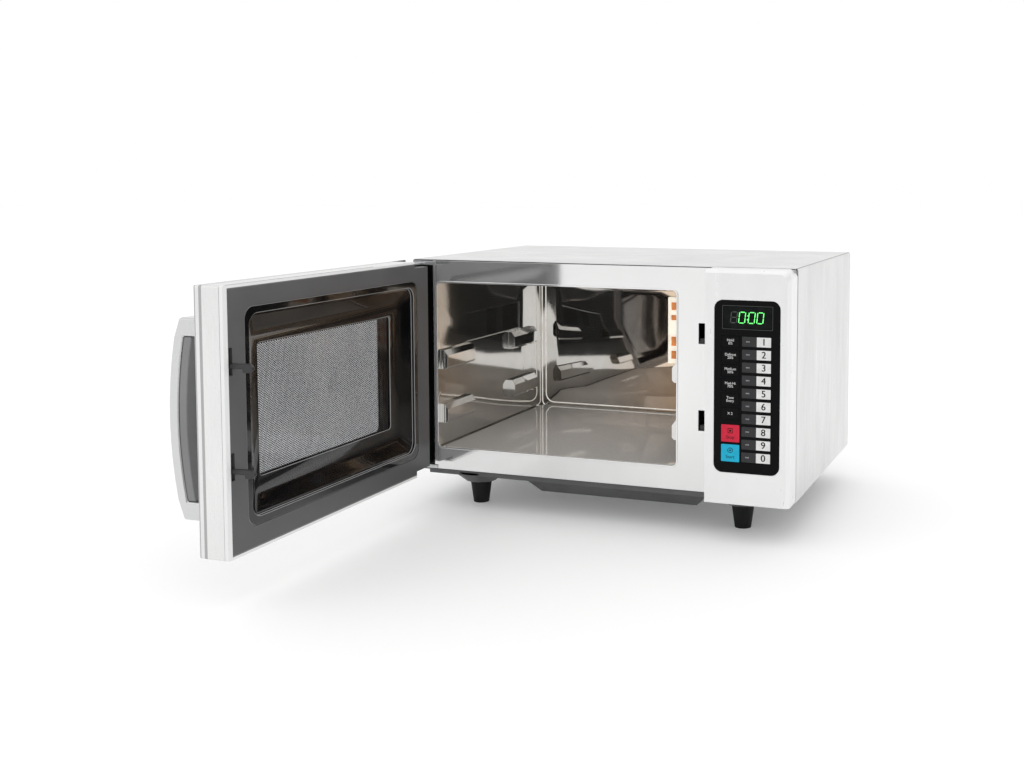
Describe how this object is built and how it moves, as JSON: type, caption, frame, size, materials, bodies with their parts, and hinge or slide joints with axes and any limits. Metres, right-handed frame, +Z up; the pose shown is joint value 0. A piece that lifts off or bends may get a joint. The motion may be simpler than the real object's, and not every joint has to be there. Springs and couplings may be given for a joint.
{
  "type": "microwave oven",
  "caption": "Commercial countertop microwave oven in stainless steel, with a side-hinged door, a bow handle, latch hooks, a keypad panel and a flat ceramic floor.",
  "frame": {"origin": "on the floor plane, under the middle of the bounding box with the door open at 90 degrees", "axes": "X to the oven's right, Y to its back, Z up; the open door reaches towards -Y"},
  "size_m": [0.5628, 0.7724, 0.325],
  "materials": {
    "cover_steel": "brushed",
    "polished_steel": "bright polished",
    "zinc_sheet": "zinc plated, satin",
    "dark_sheet": "dark grey, satin",
    "aluminium_sheet": "satin",
    "core_steel": "laminated and varnished",
    "ceramic_plate": "smooth, glossy",
    "cream_plastic": "moulded, matt",
    "lamp_glass": "clear tube",
    "foot_rubber": "moulded, matt",
    "panel_silver": "metallic silver",
    "handle_silver": "metallic silver",
    "grip_grey": "moulded, satin",
    "grey_plastic": "moulded, satin",
    "black_gloss": "high gloss",
    "black_plastic": "moulded, satin",
    "white_plastic": "moulded, satin",
    "circuit_board": "solder mask",
    "screen_sheet": "perforated, satin black",
    "dark_glass": "tinted, polished",
    "key_number": "printed film",
    "key_mode": "printed film",
    "key_red": "printed film",
    "key_cyan": "printed film"
  },
  "bodies": {
    "cabinet": {"outer_cover": "cover_steel", "base_plate": "dark_sheet", "back_panel": "zinc_sheet", "front_plate": "polished_steel", "foot_front_left": "foot_rubber", "foot_front_right": "foot_rubber", "foot_rear_left": "foot_rubber", "foot_rear_right": "foot_rubber", "cavity_liner": "polished_steel", "cavity_back_wall": "polished_steel", "ceramic_floor": "ceramic_plate", "lamp_cover": "cream_plastic", "cavity_lamp": "lamp_glass", "stirrer_motor": "zinc_sheet", "waveguide": "zinc_sheet", "magnetron": "aluminium_sheet", "transformer": "core_steel", "capacitor": "aluminium_sheet", "fan_shroud": "black_plastic", "fan_motor": "core_steel", "filter_board": "circuit_board", "cable_gland": "black_plastic", "latch_bracket": "black_plastic", "interlock_switch_upper": "black_plastic", "interlock_switch_lower": "black_plastic", "control_panel_housing": "panel_silver", "keypad_overlay": "black_gloss", "display_window": "dark_glass", "control_board": "circuit_board", "hinge_bracket_upper": "zinc_sheet", "hinge_bracket_lower": "zinc_sheet"},
    "door": {"door_skin": "cover_steel", "door_inner_panel": "grey_plastic", "choke_cover": "black_gloss", "door_screen": "screen_sheet", "door_window": "dark_glass", "latch_spring": "zinc_sheet", "handle_bow": "handle_silver", "handle_grip": "grip_grey"},
    "latch": {"latch_lever": "black_plastic"},
    "stirrer": {"stirrer_antenna": "aluminium_sheet"},
    "fan": {"fan_blade": "white_plastic"},
    "key_1": {"key_1": "key_number"},
    "key_2": {"key_2": "key_number"},
    "key_3": {"key_3": "key_number"},
    "key_4": {"key_4": "key_number"},
    "key_5": {"key_5": "key_number"},
    "key_6": {"key_6": "key_number"},
    "key_7": {"key_7": "key_number"},
    "key_8": {"key_8": "key_number"},
    "key_9": {"key_9": "key_number"},
    "key_0": {"key_0": "key_number"},
    "key_hold": {"key_hold": "key_mode"},
    "key_defrost": {"key_defrost": "key_mode"},
    "key_medium": {"key_medium": "key_mode"},
    "key_medium_high": {"key_medium_high": "key_mode"},
    "key_time_entry": {"key_time_entry": "key_mode"},
    "key_double": {"key_double": "key_mode"},
    "key_stop": {"key_stop": "key_red"},
    "key_start": {"key_start": "key_cyan"}
  },
  "joints": [
    {"name": "door_hinge", "type": "hinge", "parent": "cabinet", "child": "door", "pos_m": [-0.2201, 0.01025, 0.1862], "axis": [0, 0, -1], "range_deg": [-90, 25]},
    {"name": "latch_lift", "type": "slide", "parent": "door", "child": "latch", "axis": [0, 0, 1], "range_m": [-0.003, 0.009], "stiffness_N_per_m": 150, "springref_m": -0.004},
    {"name": "stirrer_spin", "type": "hinge", "parent": "cabinet", "child": "stirrer", "pos_m": [-0.03125, 0.198, 0.05], "axis": [0, 0, 1], "continuous": true},
    {"name": "fan_spin", "type": "hinge", "parent": "cabinet", "child": "fan", "pos_m": [0.2059, 0.34, 0.222], "axis": [0, 1, 0], "continuous": true},
    {"name": "key_1_press", "type": "slide", "parent": "cabinet", "child": "key_1", "axis": [0, 1, 0], "range_m": [0, 0.0005], "stiffness_N_per_m": 1500, "springref_m": -0.0004},
    {"name": "key_2_press", "type": "slide", "parent": "cabinet", "child": "key_2", "axis": [0, 1, 0], "range_m": [0, 0.0005], "stiffness_N_per_m": 1500, "springref_m": -0.0004},
    {"name": "key_3_press", "type": "slide", "parent": "cabinet", "child": "key_3", "axis": [0, 1, 0], "range_m": [0, 0.0005], "stiffness_N_per_m": 1500, "springref_m": -0.0004},
    {"name": "key_4_press", "type": "slide", "parent": "cabinet", "child": "key_4", "axis": [0, 1, 0], "range_m": [0, 0.0005], "stiffness_N_per_m": 1500, "springref_m": -0.0004},
    {"name": "key_5_press", "type": "slide", "parent": "cabinet", "child": "key_5", "axis": [0, 1, 0], "range_m": [0, 0.0005], "stiffness_N_per_m": 1500, "springref_m": -0.0004},
    {"name": "key_6_press", "type": "slide", "parent": "cabinet", "child": "key_6", "axis": [0, 1, 0], "range_m": [0, 0.0005], "stiffness_N_per_m": 1500, "springref_m": -0.0004},
    {"name": "key_7_press", "type": "slide", "parent": "cabinet", "child": "key_7", "axis": [0, 1, 0], "range_m": [0, 0.0005], "stiffness_N_per_m": 1500, "springref_m": -0.0004},
    {"name": "key_8_press", "type": "slide", "parent": "cabinet", "child": "key_8", "axis": [0, 1, 0], "range_m": [0, 0.0005], "stiffness_N_per_m": 1500, "springref_m": -0.0004},
    {"name": "key_9_press", "type": "slide", "parent": "cabinet", "child": "key_9", "axis": [0, 1, 0], "range_m": [0, 0.0005], "stiffness_N_per_m": 1500, "springref_m": -0.0004},
    {"name": "key_0_press", "type": "slide", "parent": "cabinet", "child": "key_0", "axis": [0, 1, 0], "range_m": [0, 0.0005], "stiffness_N_per_m": 1500, "springref_m": -0.0004},
    {"name": "key_hold_press", "type": "slide", "parent": "cabinet", "child": "key_hold", "axis": [0, 1, 0], "range_m": [0, 0.0005], "stiffness_N_per_m": 1500, "springref_m": -0.0004},
    {"name": "key_defrost_press", "type": "slide", "parent": "cabinet", "child": "key_defrost", "axis": [0, 1, 0], "range_m": [0, 0.0005], "stiffness_N_per_m": 1500, "springref_m": -0.0004},
    {"name": "key_medium_press", "type": "slide", "parent": "cabinet", "child": "key_medium", "axis": [0, 1, 0], "range_m": [0, 0.0005], "stiffness_N_per_m": 1500, "springref_m": -0.0004},
    {"name": "key_medium_high_press", "type": "slide", "parent": "cabinet", "child": "key_medium_high", "axis": [0, 1, 0], "range_m": [0, 0.0005], "stiffness_N_per_m": 1500, "springref_m": -0.0004},
    {"name": "key_time_entry_press", "type": "slide", "parent": "cabinet", "child": "key_time_entry", "axis": [0, 1, 0], "range_m": [0, 0.0005], "stiffness_N_per_m": 1500, "springref_m": -0.0004},
    {"name": "key_double_press", "type": "slide", "parent": "cabinet", "child": "key_double", "axis": [0, 1, 0], "range_m": [0, 0.0005], "stiffness_N_per_m": 1500, "springref_m": -0.0004},
    {"name": "key_stop_press", "type": "slide", "parent": "cabinet", "child": "key_stop", "axis": [0, 1, 0], "range_m": [0, 0.0005], "stiffness_N_per_m": 1500, "springref_m": -0.0004},
    {"name": "key_start_press", "type": "slide", "parent": "cabinet", "child": "key_start", "axis": [0, 1, 0], "range_m": [0, 0.0005], "stiffness_N_per_m": 1500, "springref_m": -0.0004}
  ]
}
